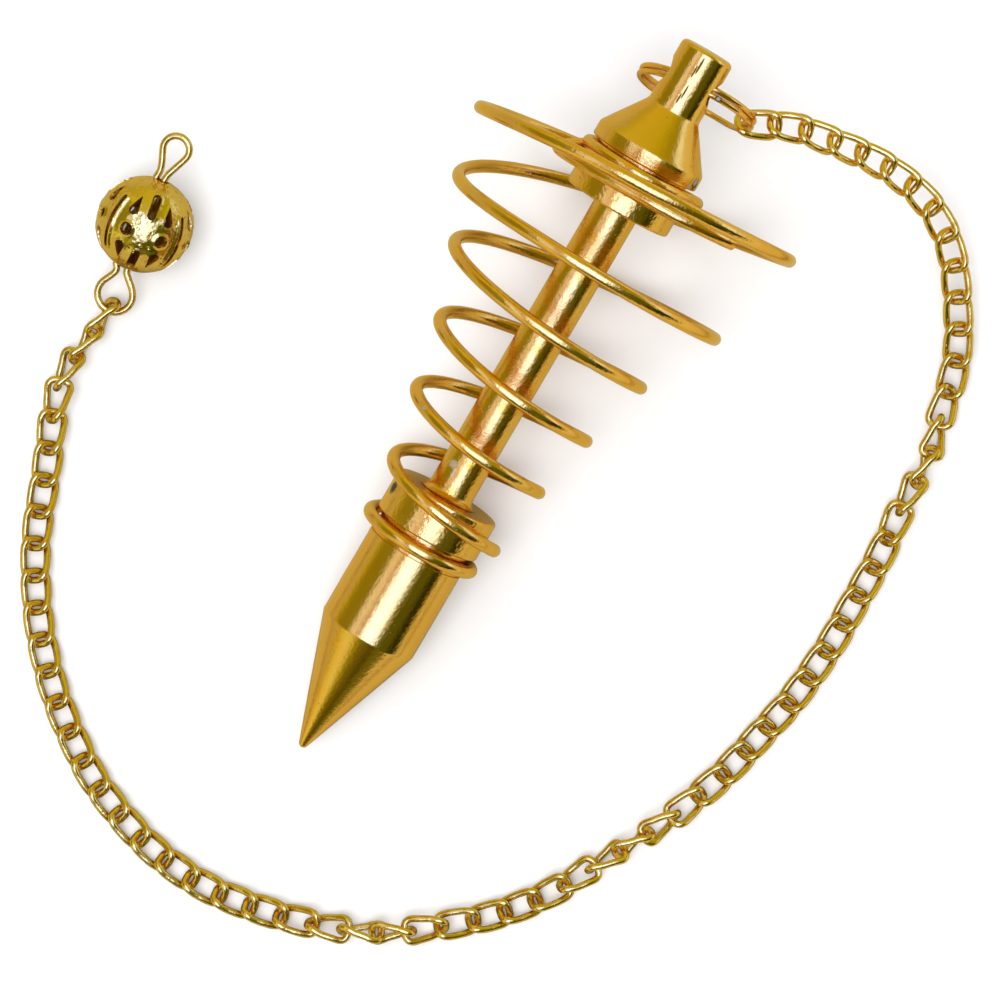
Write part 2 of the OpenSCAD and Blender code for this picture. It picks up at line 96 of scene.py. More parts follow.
REST_TILT, HEADING = 13.8875, 58.9
PENDANT_START = Vector((-16.2146, -19.9737, 1.41305))
HOOK_HEIGHT = 12.1373
RING_MIDDLE = Vector((16.265, 32.4217, HOOK_HEIGHT))
PENDANT_TURN = (radians(REST_TILT - 90), 0.0, radians(HEADING - 90))
PENDANT_POSE = (Matrix.Translation(PENDANT_START)
                @ Matrix.Rotation(PENDANT_TURN[2], 4, "Z") @ Matrix.Rotation(PENDANT_TURN[0], 4, "X"))
BEAD_MIDDLE = Vector((-29.3203, 23.3189, 4.1))
BEAD_TILT = 20.8302
BEAD_TURN = (0.0, radians(-BEAD_TILT), radians(BEAD_HEADING))
BEAD_POSE = (Matrix.Translation(BEAD_MIDDLE)
             @ Matrix.Rotation(BEAD_TURN[2], 4, "Z") @ Matrix.Rotation(BEAD_TURN[1], 4, "Y"))
# In the bead's own frame Z runs towards the free eye and X points down
BEAD_SHELL_POSE = BEAD_POSE @ Matrix.Rotation(pi / 2, 4, "Y")

# Columns: half turns from the left end of the first tight turn, share of the way from the seat to
# the widest turn, share of the way from the lower seat to the upper one
COIL_ROWS = [
    (-0.55, 0.00, 1.000), (0.00, 0.00, 1.000), (0.50, 0.00, 1.000), (1.00, 0.04, 1.000),
    (1.50, 0.42, 0.978), (2.00, 0.92, 0.942), (2.50, 0.96, 1.000), (3.00, 1.00, 0.997),
    (3.50, 0.94, 0.900), (4.00, 0.82, 0.789), (4.50, 0.80, 0.777), (5.00, 0.79, 0.755),
    (6.00, 0.56, 0.647), (6.50, 0.51, 0.601), (7.00, 0.46, 0.571), (8.00, 0.34, 0.479),
    (8.50, 0.32, 0.430), (9.00, 0.29, 0.400), (10.00, 0.215, 0.312), (10.50, 0.19, 0.268),
    (11.00, 0.165, 0.241), (12.00, 0.085, 0.147), (12.50, 0.085, 0.103), (13.00, 0.085, 0.071),
    (13.50, 0.070, 0.034), (14.00, 0.030, 0.008), (14.50, 0.00, 0.00), (15.00, 0.00, 0.00),
    (15.70, 0.00, 0.00)]
TAIL_ROWS = [
    (-0.65, 0.00, 1.000), (-0.45, 0.03, 1.000), (-0.20, 0.11, 0.985), (0.00, 0.19, 0.957),
    (0.50, 0.30, 0.965), (0.85, 0.66, 0.975)]
# Columns: x, y, share of the way from the floor to the split ring
CHAIN_ROUTE = [
    (20.8, 30.2, 1), (24.4, 30, 0.94), (27.7, 29, 0.83), (30.7, 28, 0.7), (33.5, 26.5, 0.57),
    (35.8, 24.5, 0.45), (37.3, 22, 0.34), (38, 19.4, 0.24), (38.3, 16.6, 0.15), (38.4, 14, 0.08),
    (38, 11.1, 0.025), (37, 7.9, 0), (35.9, 4.3, 0), (33.6, -0.1, 0), (31.7, -4.2, 0), (29.2, -8.7, 0),
    (27.4, -11.8, 0), (24.5, -15.9, 0), (22.7, -17.9, 0), (19, -21.9, 0), (16.7, -23.9, 0),
    (14.2, -25.9, 0), (11.4, -27.7, 0), (7.5, -30.1, 0), (3.9, -32.2, 0), (0, -33.7, 0), (-4, -34.6, 0),
    (-8.5, -35.2, 0), (-12.5, -35, 0), (-16.6, -34.2, 0), (-20.8, -32.9, 0), (-24.9, -31, 0),
    (-29.1, -27.8, 0), (-32.9, -23.3, 0), (-35, -19.5, 0), (-36.5, -15.9, 0), (-37.4, -12.8, 0),
    (-38, -9.9, 0), (-38.3, -7, 0), (-38.4, -4.2, 0), (-38.2, -1.1, 0), (-37.7, 2.2, 0), (-37.3, 5.3, 0),
    (-36.9, 8.3, 0), (-36.1, 11.2, 0), (-34.5, 13.6, 0), (-32.5, 16.5, 0)]
# Columns: place as a share of the chain's length, links that the turn takes, turn in degrees
CHAIN_TURNS = [(0.235, 7, -180), (0.47, 8, -180), (0.60, 7, -180), (0.96, 6, -90)]
# Holes of one panel of the bead: kind, side and height in degrees from the panel's middle
PANEL_HOLES = [("slot", 0, 37), ("leaf", -24, 31), ("leaf", 24, 31), ("round", -22, 0), ("round", 22, 0),
               ("slot", 0, -37), ("leaf", -24, -30), ("leaf", 24, -30), ("seam", 45, 0)]
SLOT_W, SLOT_L, LEAF_W, LEAF_L, ROUND_HOLE_D = 0.75, 2.4, 0.85, 1.9, 1.08
SEAM_SLOT_W, SEAM_SLOT_L = 0.32, 4.6

# ---- camera

camera = in_scene("camera", bpy.data.cameras.new("camera"))
LOOK_AT = Vector((0.2, 0.74, 0)) * MM
CAMERA_DISTANCE, CAMERA_ELEVATION = 0.432, radians(83.2)
SENSOR_W, LENS_SHARE = 36, 5.184
camera.location = LOOK_AT + CAMERA_DISTANCE * Vector(
    (0, -cos(CAMERA_ELEVATION), sin(CAMERA_ELEVATION)))
camera.rotation_euler = (pi / 2 - CAMERA_ELEVATION, 0, 0)
camera.data.sensor_width = SENSOR_W
camera.data.lens = SENSOR_W * LENS_SHARE
camera.data.clip_start, camera.data.clip_end = 0.01, 20
scene.camera = camera

# ---- curves along which wire runs


def hermite(rows, column, x):
    """Column of a table at x of its first column, on a smooth curve through its rows."""
    last = len(rows) - 1
    i = max([k for k in range(last) if k == 0 or rows[k][0] <= x])

    def slope(k):
        a, b = max(k - 1, 0), min(k + 1, last)
        return (rows[b][column] - rows[a][column]) / (rows[b][0] - rows[a][0])
    w = rows[i + 1][0] - rows[i][0]
    t = (x - rows[i][0]) / w
    return (rows[i][column] * (2 * t ** 3 - 3 * t ** 2 + 1) + w * slope(i) * (t ** 3 - 2 * t ** 2 + t)
            + rows[i + 1][column] * (3 * t ** 2 - 2 * t ** 3) + w * slope(i + 1) * (t ** 3 - t ** 2))


def coil_path(rows, count):
    """The spiral, or its loose end, from a table of shares."""
    seat_r = SEAT_D / 2 + WRAP_GAP + COIL_WIRE_D / 2
    low = POINT_TOP + (LOWER_SEAT_PLAY + COIL_WIRE_D) / 2
    high = HEAD_Z - SEAT_GAP - (UPPER_SEAT_PLAY + COIL_WIRE_D) / 2
    path = []
    for k in range(count + 1):
        x = rows[0][0] + (rows[-1][0] - rows[0][0]) * k / count
        r = seat_r + (COIL_BIG_R - seat_r) * hermite(rows, 1, x)
        a = radians(180 - 180 * x)
        z = low + (high - low) * hermite(rows, 2, x)
        path.append(PENDANT_POSE @ Vector((r * cos(a), -r * sin(a), z)))
    return path


def ease(t):
    u = min(max(t, 0), 1)
    return u * u * (3 - 2 * u)


def ring_path(count):
    """Two turns side by side. The wire crosses from one to the other half way."""
    heading = radians(HEADING - 90 + RING_TURN)
    side = Vector((cos(heading), sin(heading), 0))
    normal = Vector((-sin(heading), cos(heading), 0))
    r = (RING_D - RING_WIRE_D) / 2
    layer = (RING_WIRE_D + LAYER_GAP) / 2
    path = []
    for k in range(count + 1):
        a = RING_END_GAP + (720 - 2 * RING_END_GAP) * k / count
        across = (ease((a - 360 + RING_END_GAP) / (2 * RING_END_GAP)) * 2 - 1) * layer
        place = radians(a + RING_CROSS_AT)
        path.append(RING_MIDDLE + r * (sin(place) * side + cos(place) * Vector((0, 0, 1)))
                    + across * normal)
    return path


def eye_path(eye_w, foot):
    """The pin's wire from the bead's middle, round an eye and back to the sheet, in the bead's frame."""
    r = (eye_w - PIN_D) / 2
    start = BEAD_D / 2 + EYE_START
    middle = BEAD_D / 2 + EYE_L - eye_w / 2
    lean = asin(r / (middle - start))
    leg = (middle - start) * cos(lean)
    stop = (PIN_D + WRAP_GAP) / (2 * sin(lean))
    steps = 14
    path = [Vector((0, 0, 0)), Vector((start, 0, 0)),
            Vector((start + leg / 2 * cos(lean), -leg / 2 * sin(lean), 0))]
    for i in range(steps + 1):
        a = (pi / 2 + lean) * (2 * i / steps - 1)
        path.append(Vector((middle + r * cos(a), r * sin(a), 0)))
    path.append(Vector((start + stop * cos(lean), stop * sin(lean) + foot * 0.3, 0)))
    path.append(Vector((sqrt((BEAD_D / 2 - SHEET_SINK) ** 2 - foot ** 2) + FOOT_RISE, foot, 0)))
    return path


def soften(path, rounds):
    """Cuts the corners of an open path a few times."""
    for _ in range(rounds):
        cut = [path[0]]
        for a, b in zip(path[:-1], path[1:]):
            cut += [a.lerp(b, 0.25), a.lerp(b, 0.75)]
        path = cut + [path[-1]]
    return path


def pin_path():
    free = eye_path(FREE_EYE_W, FREE_FOOT)
    held = [Vector((-p.x, p.y, p.z)) for p in eye_path(CHAIN_EYE_W, CHAIN_FOOT)]
    return [BEAD_POSE @ p for p in soften(held[:0:-1] + free, 2)]


# ---- the chain's links


def squared(v):
    """Pushes a point of a circle out towards the corners."""
    return copysign(abs(v) ** LINK_SQUARENESS, v)


def link_outline(count):
    """Middle line of a twisted link's wire, in the link's own frame."""
    path = []
    for i in range(count):
        a = 2 * pi * i / count
        path.append(Vector(((LINK_L - LINK_WIRE_D) / 2 * squared(cos(a)),
                            (LINK_W - LINK_WIRE_D) / 2 * squared(sin(a)), LINK_TWIST * sin(2 * a))))
    return path


CAD_LINK = link_outline(14)


def lift(roll):
    """How high the middle of a link lies when it is rolled about the chain's direction."""
    return LINK_WIRE_D / 2 + max(abs(p.y * sin(roll) + p.z * cos(roll)) for p in CAD_LINK)


def chain_frames():
    """Middle and rotation of each link along the route."""
    points = [Vector((x, y, rise * (HOOK_HEIGHT - lift(0)))) for x, y, rise in CHAIN_ROUTE]
    last, steps, fine = len(points) - 1, 6, []
    for i in range(last):
        a, b, c, d = points[max(i - 1, 0)], points[i], points[i + 1], points[min(i + 2, last)]
        for k in range(steps):
            t = k / steps
            fine.append((2 * b + (c - a) * t + (2 * a - 5 * b + 4 * c - d) * t * t
                         + (3 * b - a - 3 * c + d) * t ** 3) / 2)
    fine.append(points[last])
    route = np.array(fine)
    at = np.concatenate([[0], np.cumsum(np.linalg.norm(np.diff(route, axis=0), axis=1))])
    length = at[-1]
    first = LINK_L / 2 - LINK_WIRE_D - RING_WIRE_D / 2 - RING_SEAT
    final = LINK_L / 2 - LINK_WIRE_D - PIN_D / 2 - EYE_GAP
    count = ceil((length - first - final) / (LINK_L - 2 * LINK_WIRE_D - LINK_PLAY))
    pitch = (length - first - final) / count

    def roll_at(s):
        return radians(sum(turn * ease((s - place * length) / (links * pitch) + 0.5)
                           for place, links, turn in CHAIN_TURNS))

    def chain_point(s):
        x, y, z = (np.interp(s, at, route[:, c]) for c in range(3))
        return Vector((x, y, z + lift(roll_at(s))))
    frames = []
    for k in range(count + 1):
        s = first + k * pitch
        middle = chain_point(s)
        along = (chain_point(s + pitch / 2) - chain_point(s - pitch / 2)).normalized()
        level = Vector((0, 0, 1)).cross(along).normalized()
        rise = along.cross(level)
        roll = roll_at(s)
        side = cos(roll) * level + sin(roll) * rise
        up = cos(roll) * rise - sin(roll) * level
        turn = Matrix((along, side, up)).transposed()
        lowest = min((middle + turn @ p).z for p in CAD_LINK)
        middle.z += max(0, LINK_WIRE_D / 2 - lowest)
        frames.append((middle, turn))
    return frames


# ---- materials

GOLD, YELLOW_GOLD, WORN_GOLD = (0.90, 0.49, 0.10), (0.85, 0.54, 0.12), (0.93, 0.60, 0.13)
# The orange of tarnish, also used to paint the coil's shade and reflection on the rod.
TARNISH_AND_REFLECTION, PIT, INSIDE = (0.80, 0.36, 0.01), (0.20, 0.10, 0.01), (0.36, 0.15, 0.012)
# A mark's colour, how metallic it is and how much rougher
CHIP = ((0.40, 0.37, 0.34), 0.6, 0.25)
SCRATCH = ((0.58, 0.50, 0.42), 0.7, 0.3)
BLACK = ((0.012, 0.010, 0.006), 0.0, 0.4)
DARK = (0.09, 0.04, 0.001)
# The third mark on the next line is a painted reflection: a dark line that stands in for something dark mirrored in
# the neck's highlight.
DARK_RIM, RING_RIM, PAINTED_REFLECTION_LINE = (DARK, 0.9, 0.3), (DARK, 1.0, 0.2), (DARK, 1.0, 0.1)
# How far a mark's rim strays, as a share of its radius, where the mark is round and where it is long
ROUND_RAGGED, LONG_RAGGED = 2.4, 1.8
WORN_SHARE, TARNISH_AND_REFLECTION_SHARE, PIT_SHARE = 0.32, 0.85, 0.7
PIT_DEPTH, INSIDE_SOFT = -2.0, 0.06


class Nodes:
    """Short calls to place and join nodes in one tree."""

    def __init__(self, tree):
        self.tree = tree
        self.x = 0

    def add(self, kind, inputs=None, **settings):
        node = self.tree.nodes.new(kind)
        self.x += 180
        node.location = (self.x, 0)
        for name, value in settings.items():
            setattr(node, name, value)
        for name, value in (inputs or {}).items():
            self.feed(node.inputs[name], value)
        return node

    def get(self, kind, inputs=None, out=0, **settings):
        """An output of a new node."""
        return self.add(kind, inputs, **settings).outputs[out]

    def feed(self, socket, value):
        if isinstance(value, bpy.types.NodeSocket):
            self.tree.links.new(value, socket)
        else:
            socket.default_value = value

    def math(self, operation, a, b=0.0, c=0.0, clamp=False):
        return self.get("ShaderNodeMath", {0: a, 1: b, 2: c}, operation=operation, use_clamp=clamp)

    def times(self, a, b, plus=None):
        """a times b, and a sum on top where one is given."""
        return self.math("MULTIPLY", a, b) if plus is None else self.math("MULTIPLY_ADD", a, b, plus)

    def less(self, a, b):
        return self.math("SUBTRACT", a, b)

    def vector(self, operation, a, b=(0, 0, 0), out=0):
        return self.get("ShaderNodeVectorMath", {0: a, 1: b}, operation=operation, out=out)

    def scaled(self, a, scale):
        return self.get("ShaderNodeVectorMath", {0: a, "Scale": scale}, operation="SCALE")

    def joined(self, **parts):
        """A vector of the parts X, Y and Z."""
        return self.get("ShaderNodeCombineXYZ", parts)

    def noise_map(self, where, scale, detail, rough=0.5, out="Fac"):
        return self.get("ShaderNodeTexNoise", {"Vector": where, "Scale": scale, "Detail": detail,
                                               "Roughness": rough}, out=out)

    def mix(self, share, a, b):
        node = self.add("ShaderNodeMix", data_type="RGBA")
        for name, value in (("Factor_Float", share), ("A_Color", a), ("B_Color", b)):
            if isinstance(value, tuple):
                value = (*value, 1)
            self.feed(next(s for s in node.inputs if s.identifier == name), value)
        return next(s for s in node.outputs if s.identifier == "Result_Color")

    def span(self, value, low, high, to_low=0.0, to_high=1.0):
        return self.get("ShaderNodeMapRange", {"Value": value, "From Min": low, "From Max": high,
                                               "To Min": to_low, "To Max": to_high})


FLOAT = "NodeSocketFloat"


def shader_group(name, build, outputs, numbers, vectors=("Vector",)):
    """A shader group with named sockets. build(nodes, inputs) returns {output name: socket}."""
    tree = bpy.data.node_groups.new(name, "ShaderNodeTree")
    for label in vectors:
        tree.interface.new_socket(label, in_out="INPUT", socket_type="NodeSocketVector")
    for label, value in numbers.items():
        tree.interface.new_socket(label, in_out="INPUT", socket_type=FLOAT).default_value = value
    for label in outputs:
        tree.interface.new_socket(label, in_out="OUTPUT", socket_type=FLOAT)
    nodes = Nodes(tree)
    nodes.add("NodeGroupOutput", build(nodes, nodes.add("NodeGroupInput").outputs))
    return tree


def build_turning(nodes, given):
    """Fine grooves round a turned piece, of uneven depth."""
    axis = nodes.get("ShaderNodeSeparateXYZ", {"Vector": given["Vector"]}, out="Z")
    along = nodes.times(axis, given["Lines per mm"])
    fine = nodes.get("ShaderNodeTexNoise", {"W": along, "Scale": 1.0, "Detail": 3.0, "Roughness": 0.7},
                     noise_dimensions="1D")
    patch = nodes.noise_map(given["Vector"], 0.45, 2.0)
    depth = nodes.times(nodes.span(patch, 0.35, 0.7), nodes.less(fine, 0.5))
    return {"Height": nodes.times(depth, given["Depth"])}


def build_unevenness(nodes, given):
    """Slow waves, small dents and a fine grain that polishing leaves in the metal."""
    wave = nodes.noise_map(given["Vector"], given["Wave scale"], 2.0, 0.55)
    dents = nodes.add("ShaderNodeTexVoronoi", {"Vector": given["Vector"], "Scale": given["Dent scale"]})
    dent = nodes.span(dents.outputs["Distance"], 0.0, 0.28, -1.0, 0.0)
    grain = nodes.noise_map(given["Vector"], 3.6, 3.0, 0.7)
    fine = nodes.times(nodes.less(grain, 0.5), given["Grain depth"],
                       nodes.times(dent, given["Dent depth"]))
    return {"Height": nodes.times(nodes.less(wave, 0.5), given["Wave depth"], fine)}


def build_wear(nodes, given):
    """Dulled patches and fine scuffs: a mask and the roughness that goes with it."""
    cloud = nodes.noise_map(given["Vector"], given["Scale"], 3.0, 0.65)
    scuff = nodes.noise_map(given["Vector"], nodes.times(given["Scale"], 9.0), 2.0, 0.8)
    mask = nodes.times(nodes.span(cloud, 0.48, 0.72), nodes.span(scuff, 0.40, 0.68))
    edge = nodes.times(given["Edge"], 0.35)
    mask = nodes.math("ADD", nodes.times(mask, given["Amount"]), edge, clamp=True)
    return {"Mask": mask, "Roughness": nodes.times(mask, 0.22, given["Polish"])}


def build_spot(nodes, given):
    """A mark with a ragged rim round a centre. Stretch makes it long along Z."""
    ragged = nodes.noise_map(given["Vector"], given["Grain"], 3.0, 0.7, out="Color")
    strayed = nodes.scaled(nodes.vector("SUBTRACT", ragged, (0.5, 0.5, 0.5)), given["Ragged"])
    away = nodes.vector("SUBTRACT", nodes.vector("ADD", strayed, given["Vector"]), given["Centre"])
    shorten = nodes.joined(X=1.0, Y=1.0, Z=nodes.math("DIVIDE", 1.0, given["Stretch"]))
    away = nodes.vector("LENGTH", nodes.vector("MULTIPLY", away, shorten), out="Value")
    return {"Mask": nodes.span(nodes.math("DIVIDE", away, given["Radius"]), 1.0, given["Hardness"])}


def build_streaks(nodes, given):
    """Long shallow scratches that the drawing plate leaves along a wire."""
    ends = nodes.joined(Z=nodes.times(given["Along"], 0.6 / MM))
    fine = nodes.noise_map(nodes.vector("ADD", nodes.scaled(given["Around"], 5.0), ends), 1.0, 2.0, 0.6)
    return {"Height": nodes.times(nodes.less(fine, 0.5), given["Depth"])}


def build_specks(nodes, given):
    """Small dark pits, scattered."""
    cells = nodes.add("ShaderNodeTexVoronoi", {"Vector": given["Vector"], "Scale": given["Scale"]})
    chance = nodes.get("ShaderNodeSeparateColor", {"Color": cells.outputs["Color"]})
    size = nodes.span(chance, nodes.less(1.0, given["Share"]), 1.0, 0.0, 0.2)
    inside = nodes.less(size, cells.outputs["Distance"])
    return {"Mask": nodes.math("MULTIPLY", inside, 16.0, clamp=True)}


TURNING = shader_group("Turning marks", build_turning, ["Height"], {"Lines per mm": 6.0, "Depth": 1.0})
UNEVEN = shader_group("Uneven polish", build_unevenness, ["Height"], {
    "Wave scale": 0.6, "Wave depth": 1.0, "Dent scale": 1.2, "Dent depth": 0.2, "Grain depth": 3.0})
WEAR = shader_group("Worn plating", build_wear, ["Mask", "Roughness"], {
    "Scale": 0.5, "Amount": 1.0, "Edge": 0.0, "Polish": 0.12})
SPOT = shader_group("Ragged spot", build_spot, ["Mask"], {
    "Radius": 0.5, "Grain": 3.0, "Ragged": 0.4, "Hardness": 0.6, "Stretch": 1.0}, ["Vector", "Centre"])
STREAKS = shader_group("Drawn streaks", build_streaks, ["Height"], {"Along": 0.0, "Depth": 6.0}, ["Around"])
SPECKS = shader_group("Scattered pits", build_specks, ["Mask"], {"Scale": 2.2, "Share": 0.3})


def placed(nodes, group, **inputs):
    """A copy of a shader group with its own values."""
    node = nodes.add("ShaderNodeGroup", node_tree=group)
    for name, value in inputs.items():
        nodes.feed(node.inputs[name.replace("_", " ")], value)
    return node


def output(nodes, group, **inputs):
    return placed(nodes, group, **inputs).outputs[0]


def millimetres(nodes, start, turn):
    """Object coordinates in a piece's own frame, in millimetres."""
    place = nodes.get("ShaderNodeTexCoord", out="Object")
    return nodes.get("ShaderNodeMapping", {"Vector": place, "Location": start * MM, "Rotation": turn,
                                           "Scale": (MM, MM, MM)}, vector_type="TEXTURE")


def gold(name, start, turn, polish, wear=1.0, lines=0.0, groove=0.0, wave=(0.6, 0.0), dents=(1.2, 0.0),
         tint=GOLD, marks=(), tarnish_and_reflection=(), edge=False, inside=None, grain=4.8, streaks=0.0):
    """Gold-plated brass with its own polish, grooves, wear and marks.

    A mark is a place, a radius, a kind and how long it is for its width. Orange patches are places and radii: tarnish
    in hollows, and on the rod painted shade and reflection of the coil where it crosses."""
    material = bpy.data.materials.new(name)
    material.use_nodes = True
    nodes = Nodes(material.node_tree)
    shader = material.node_tree.nodes["Principled BSDF"]
    where = millimetres(nodes, start, turn)
    edge_share = nodes.get("ShaderNodeAttribute", attribute_name="edge", out="Fac") if edge else 0.0
    worn = placed(nodes, WEAR, Vector=where, Amount=wear, Edge=edge_share, Polish=polish)
    cloud = nodes.noise_map(where, 0.28, 3.0, 0.6)
    warm = (tint[0], tint[1] * 0.94, tint[2] * 0.8)
    light = (tint[0], tint[1] * 1.05, tint[2] * 1.2)
    colour = nodes.mix(nodes.span(cloud, 0.3, 0.7), warm, light)
    colour = nodes.mix(nodes.times(worn.outputs["Mask"], WORN_SHARE), colour, WORN_GOLD)
    rough = worn.outputs["Roughness"]
    # Orange patches: tarnish, and on the rod painted shade and reflection of the coil where it crosses.
    for centre, radius in tarnish_and_reflection:
        mask = output(nodes, SPOT, Vector=where, Centre=centre, Radius=radius, Grain=0.9, Ragged=radius * 0.9,
                      Hardness=0.2)
        colour = nodes.mix(nodes.times(mask, TARNISH_AND_REFLECTION_SHARE), colour, TARNISH_AND_REFLECTION)
        rough = nodes.times(mask, 0.03, rough)
    pit = output(nodes, SPECKS, Vector=where, Share=0.25)
    colour = nodes.mix(nodes.times(pit, PIT_SHARE), colour, PIT)
    rough = nodes.times(pit, 0.2, rough)
    metallic = 1.0
    for centre, radius, (paint, metal, dull), stretch in marks:
        ragged = ROUND_RAGGED if stretch == 1 else LONG_RAGGED
        mask = output(nodes, SPOT, Vector=where, Centre=centre, Radius=radius, Grain=5.0 / radius,
                      Ragged=radius * ragged, Hardness=0.8, Stretch=stretch)
        colour = nodes.mix(mask, colour, paint)
        rough = nodes.times(mask, dull, rough)
        metallic = nodes.math("MULTIPLY_ADD", mask, metal - 1.0, metallic, clamp=True)
    if inside is not None:
        depth = nodes.vector("LENGTH", where, out="Value")
        mask = nodes.span(depth, inside + INSIDE_SOFT, inside - INSIDE_SOFT)
        colour = nodes.mix(mask, colour, INSIDE)
        rough = nodes.times(mask, 0.35, rough)
    height = output(nodes, UNEVEN, Vector=where, Wave_scale=wave[0], Wave_depth=wave[1], Dent_scale=dents[0],
                    Dent_depth=dents[1], Grain_depth=grain)
    if groove:
        grooves = output(nodes, TURNING, Vector=where, Lines_per_mm=lines, Depth=groove)
        height = nodes.math("ADD", height, grooves)
    if streaks:
        around = nodes.get("ShaderNodeAttribute", attribute_name="around", out="Vector")
        along = nodes.get("ShaderNodeAttribute", attribute_name="along", out="Fac")
        drawn = output(nodes, STREAKS, Around=around, Along=along, Depth=streaks)
        height = nodes.math("ADD", height, drawn)
    height = nodes.times(pit, PIT_DEPTH, height)
    bump = nodes.add("ShaderNodeBump", {"Height": height, "Strength": 1.0, "Distance": 0.001 * MM})
    for socket, value in (("Base Color", colour), ("Roughness", rough), ("Metallic", metallic),
                          ("Specular Tint", (1.0, 0.85, 0.55, 1)), ("Coat Weight", 0.05),
                          ("Coat Roughness", 0.06), ("Coat IOR", 1.6), ("Normal", bump.outputs["Normal"])):
        nodes.feed(shader.inputs[socket], value)
    return material


def on_axis(along, radius, angle):
    """A place in the pendant's frame. The angle runs from the front to the right, in degrees."""
    a = radians(angle)
    return (radius * sin(a), -radius * cos(a), along)


# ---- meshes


def finished(node, mesh, material=None, sharp=38):
    """Puts a finished mesh in place of the CAD node of the same name."""
    mesh.name = node
    if material:
        mesh.materials.clear()
        mesh.materials.append(material)
    mesh.shade_smooth()
    mesh.set_sharp_from_angle(angle=radians(sharp))
    piece = in_scene(node, mesh)
    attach(piece, "root")
    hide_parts(node)


def rounded(outline, closed):
    """Rounds each corner (r, z, radius) of a turned outline and marks how near a point is to it."""
    points = []
    count = len(outline)
    for i, (r, z, radius) in enumerate(outline):
        here = Vector((r, z))
        to_before = Vector(outline[i - 1][:2]) - here
        to_after = Vector(outline[(i + 1) % count][:2]) - here
        reach = min(radius, to_before.length * 0.4, to_after.length * 0.4)
        if reach <= 0 or not closed and i in (0, count - 1):
            points.append((here, 0.0))
            continue
        start, end = here + to_before.normalized() * reach, here + to_after.normalized() * reach
        hold = min(reach, 0.12)
        points.append((start + to_before.normalized() * hold, 0.0))
        steps = 5
        for k in range(steps + 1):
            t = k / steps
            near = sin(pi * t) ** 0.5 if 0 < t < 1 else 0.3
            points.append(((1 - t) ** 2 * start + 2 * t * (1 - t) * here + t * t * end, near))
        points.append((end + to_after.normalized() * hold, 0.0))
    return points


def turned_mesh(outline, closed, sides=144):
    """Turns an outline round the pendant's axis."""
    points = rounded(outline, closed)
    verts, faces, edge = [], [], []
    rings = []
    for p, near in points:
        if p.x < 1e-6:
            rings.append([len(verts)])
            verts.append(PENDANT_POSE @ Vector((0, 0, p.y)) * MM)
            edge.append(near)
            continue
        rings.append(list(range(len(verts), len(verts) + sides)))
        for k in range(sides):
            a = 2 * pi * k / sides
            verts.append(PENDANT_POSE @ Vector((p.x * cos(a), p.x * sin(a), p.y)) * MM)
            edge.append(near)
    pairs = list(zip(rings[:-1], rings[1:])) + ([(rings[-1], rings[0])] if closed else [])
    for a, b in pairs:
        for k in range(sides):
            n = (k + 1) % sides
            face = dict.fromkeys((a[k % len(a)], a[n % len(a)], b[n % len(b)], b[k % len(b)]))
            if len(face) > 2:
                faces.append(tuple(face))
    mesh = plain_mesh("turned", verts, faces)
    mesh.attributes.new("edge", "FLOAT", "POINT").data.foreach_set("value", edge)
    mesh.update()
    return mesh


def evaluated_mesh(source):
    """The mesh that an object's modifiers give. The object is then gone."""
    graph = bpy.context.evaluated_depsgraph_get()
    mesh = bpy.data.meshes.new_from_object(source.evaluated_get(graph), preserve_all_data_layers=True,
                                           depsgraph=graph)
    source.modifiers.clear()
    bpy.data.objects.remove(source)
    return mesh


def bored(mesh, origin, direction, radius, length):
    """The mesh with a round hole through it."""
    block = in_scene("block", mesh)
    sides = 48
    axis = direction.to_track_quat("Z", "Y").to_matrix()
    rim = [(radius * cos(a), radius * sin(a)) for a in np.arange(sides) * 2 * pi / sides]
    verts = [(origin + axis @ Vector((x, y, end * length / 2))) * MM for end in (-1, 1) for x, y in rim]
    faces = [(k, (k + 1) % sides, sides + (k + 1) % sides, sides + k) for k in range(sides)]
    faces += [tuple(range(sides - 1, -1, -1)), tuple(range(sides, 2 * sides))]
    cutter = in_scene("bore", plain_mesh("bore", verts, faces))
    cut = block.modifiers.new("bore", "BOOLEAN")
    cut.operation, cut.solver, cut.object = "DIFFERENCE", "EXACT", cutter
    made = evaluated_mesh(block)
    bpy.data.objects.remove(cutter)
    return made


# ---- Geometry Nodes: wire and links


def geometry_tree(name, inputs):
    """A new tree of Geometry Nodes, its nodes and the sockets that it is given."""
    tree = bpy.data.node_groups.new(name, "GeometryNodeTree")
    tree.interface.new_socket("Geometry", in_out="INPUT", socket_type="NodeSocketGeometry")
    for label, kind, value in inputs:
        socket = tree.interface.new_socket(label, in_out="INPUT", socket_type=kind)
        if value is not None:
            socket.default_value = value
    tree.interface.new_socket("Geometry", in_out="OUTPUT", socket_type="NodeSocketGeometry")
    nodes = Nodes(tree)
    return tree, nodes, nodes.add("NodeGroupInput").outputs


def stored(nodes, geometry, name, value, kind):
    return nodes.get("GeometryNodeStoreNamedAttribute", {"Geometry": geometry, "Name": name, "Value": value},
                     data_type=kind, domain="POINT")


def swept_wire(nodes, path, radius, sides):
    """Sweeps a round section along a curve and stores where each point is on the wire."""
    path = stored(nodes, path, "along", nodes.get("GeometryNodeSplineParameter", out="Length"), "FLOAT")
    section = nodes.get("GeometryNodeCurvePrimitiveCircle", {"Resolution": sides, "Radius": radius})
    around = nodes.vector("NORMALIZE", nodes.get("GeometryNodeInputPosition"))
    section = stored(nodes, section, "around", around, "FLOAT_VECTOR")
    return nodes.get("GeometryNodeCurveToMesh", {"Curve": path, "Profile Curve": section, "Fill Caps": True})


